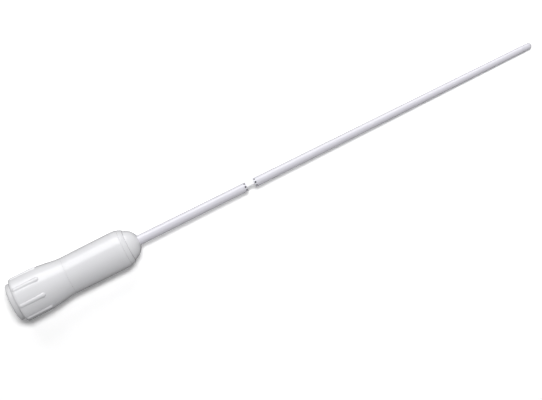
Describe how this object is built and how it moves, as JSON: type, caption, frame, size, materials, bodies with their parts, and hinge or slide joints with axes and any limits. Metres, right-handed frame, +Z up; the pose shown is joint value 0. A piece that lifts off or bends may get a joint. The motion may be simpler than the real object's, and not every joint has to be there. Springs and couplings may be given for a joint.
{
  "type": "whip antenna",
  "caption": "White whip antenna: moulded base with a ribbed hand-turned collar over a threaded socket, a domed nose, and a slim tapered whip in plugged sections.",
  "frame": {"origin": "on the antenna's axis at the collar's lower edge, where the threaded socket begins", "axes": "+X along the whip towards its tip, +Z up with the antenna lying on its side"},
  "size_m": [0.5325, 0.0428, 0.0428],
  "materials": {
    "white_shell": "glossy injection-moulded white",
    "grey_seal": "smooth light grey elastomer",
    "white_whip": "white gloss coat on fibreglass",
    "nylon": "natural white moulded",
    "brass": "turned",
    "nickel": "nickel plate",
    "spring_steel": "oiled spring steel",
    "black_rubber": "moulded",
    "copper": "bare copper wire",
    "dark_brass": "blackened",
    "board": "lacquered glass-epoxy board",
    "ceramic_capacitor": "dipped ceramic"
  },
  "bodies": {
    "base": {"stem": "nylon", "retaining_ring": "spring_steel", "thrust_washer": "nylon", "stem_o_ring": "black_rubber", "aerial_shell": "nickel", "aerial_insulator": "nylon", "aerial_contact": "brass", "match_board": "board", "match_capacitor": "ceramic_capacitor", "coil_former": "nylon", "coil_winding": "copper", "feed_wires": "copper", "barrel": "white_shell", "nose_ring": "white_shell", "nose_o_ring": "black_rubber", "nose_dome": "white_shell", "root_ferrule": "brass", "grub_screws": "spring_steel", "whip_lower": "white_whip", "conductor_lower": "copper", "sleeve_lower": "dark_brass", "spigot": "nickel"},
    "collar": {"twist_collar": "white_shell", "thread_insert": "brass", "seal_ring": "grey_seal"},
    "upper_whip": {"whip_upper": "white_whip", "conductor_upper": "copper", "sleeve_upper": "dark_brass", "tip_cap": "white_whip"}
  },
  "joints": [
    {"name": "collar_turn", "type": "hinge", "parent": "base", "child": "collar", "pos_m": [0.04, 0, 0], "axis": [1, 0, 0], "continuous": true},
    {"name": "whip_plug", "type": "slide", "parent": "base", "child": "upper_whip", "axis": [1, 0, 0], "range_m": [-0.0072, 0.0205]}
  ]
}
